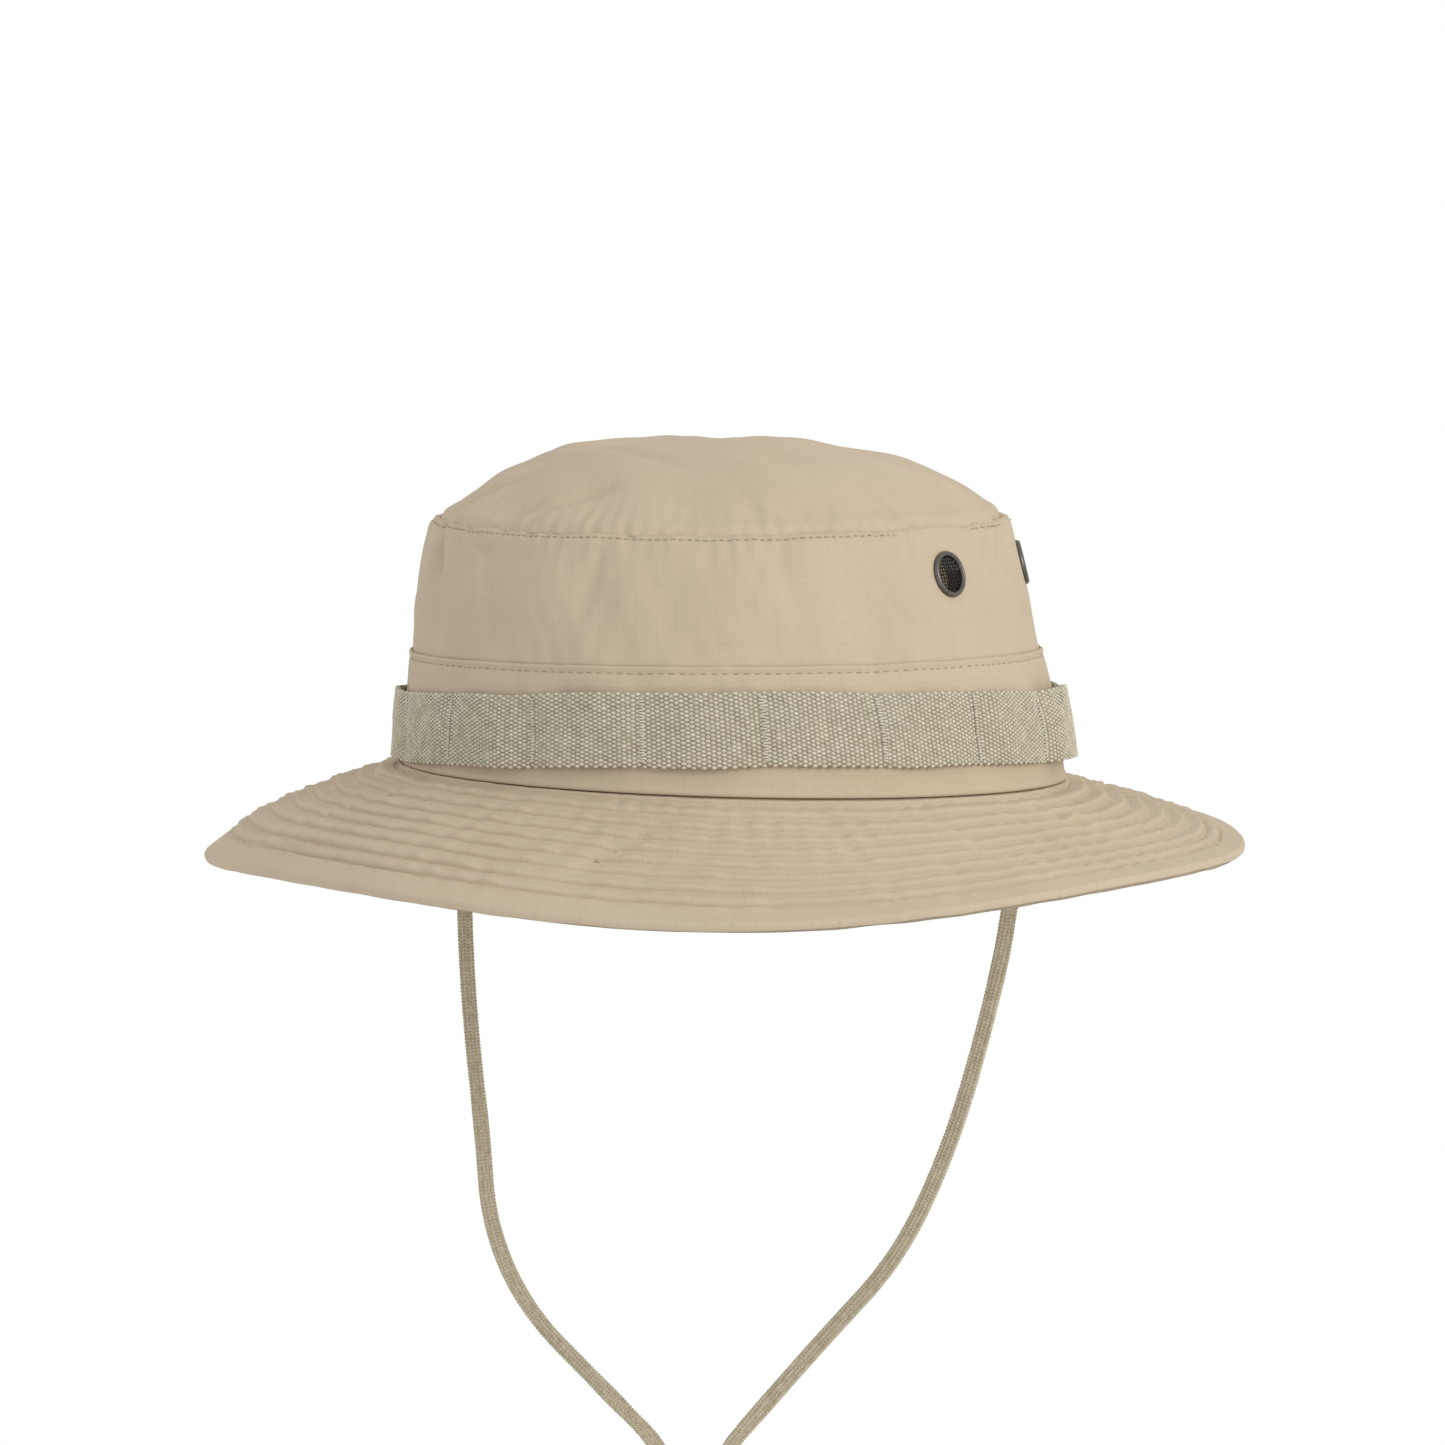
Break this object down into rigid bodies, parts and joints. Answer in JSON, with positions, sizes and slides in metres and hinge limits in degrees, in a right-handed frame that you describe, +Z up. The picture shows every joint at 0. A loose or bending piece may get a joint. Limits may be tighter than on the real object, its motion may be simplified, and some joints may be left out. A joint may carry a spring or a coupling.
{
  "type": "boonie hat",
  "caption": "Soft wide-brimmed field hat with a round crown, a stitched sloping brim, a webbing band of foliage loops, screened side vents and a chin cord with a sliding keeper.",
  "frame": {"origin": "centre of the head opening, on the seam where the crown meets the brim", "axes": "+Z up through the crown, -Y to the front of the hat, +X to the wearer's left, which is the viewer's right from the front"},
  "size_m": [0.2966, 0.3134, 0.4314],
  "materials": {
    "cotton_ripstop": "washed cotton ripstop, matt",
    "cotton_tape": "soft twill tape, matt",
    "cotton_canvas": "stiff interlining canvas",
    "label_tape": "blank woven label tape",
    "woven_webbing": "coarse woven webbing",
    "sewing_thread": "sewing thread",
    "blackened_metal": "blackened brass, satin",
    "braided_lace": "flat braided lace, matt",
    "brown_leather": "vegetable-tanned leather, satin"
  },
  "bodies": {
    "hat": {"crown_top": "cotton_ripstop", "crown_side": "cotton_ripstop", "crown_band": "cotton_ripstop", "sweatband": "cotton_tape", "care_label": "label_tape", "foliage_webbing": "woven_webbing", "webbing_bartacks": "sewing_thread", "brim_upper": "cotton_ripstop", "brim_interlining": "cotton_canvas", "brim_lower": "cotton_ripstop", "vent_shell_front_right": "blackened_metal", "vent_screen_front_right": "blackened_metal", "vent_washer_front_right": "blackened_metal", "vent_shell_front_left": "blackened_metal", "vent_screen_front_left": "blackened_metal", "vent_washer_front_left": "blackened_metal", "vent_shell_rear_right": "blackened_metal", "vent_screen_rear_right": "blackened_metal", "vent_washer_rear_right": "blackened_metal", "vent_shell_rear_left": "blackened_metal", "vent_screen_rear_left": "blackened_metal", "vent_washer_rear_left": "blackened_metal", "cord_anchor_left": "braided_lace", "cord_anchor_right": "braided_lace"},
    "chin_cord": {"chin_cord_left": "braided_lace", "chin_cord_right": "braided_lace", "end_knot": "braided_lace"},
    "keeper": {"cord_keeper": "brown_leather"}
  },
  "joints": [
    {"name": "cord_swing", "type": "hinge", "parent": "hat", "child": "chin_cord", "pos_m": [0, 0, -0.006], "axis": [1, 0, 0], "range_deg": [-70, 70]},
    {"name": "keeper_slide", "type": "slide", "parent": "chin_cord", "child": "keeper", "axis": [0, 0, -1], "range_m": [0, 0.055]}
  ]
}
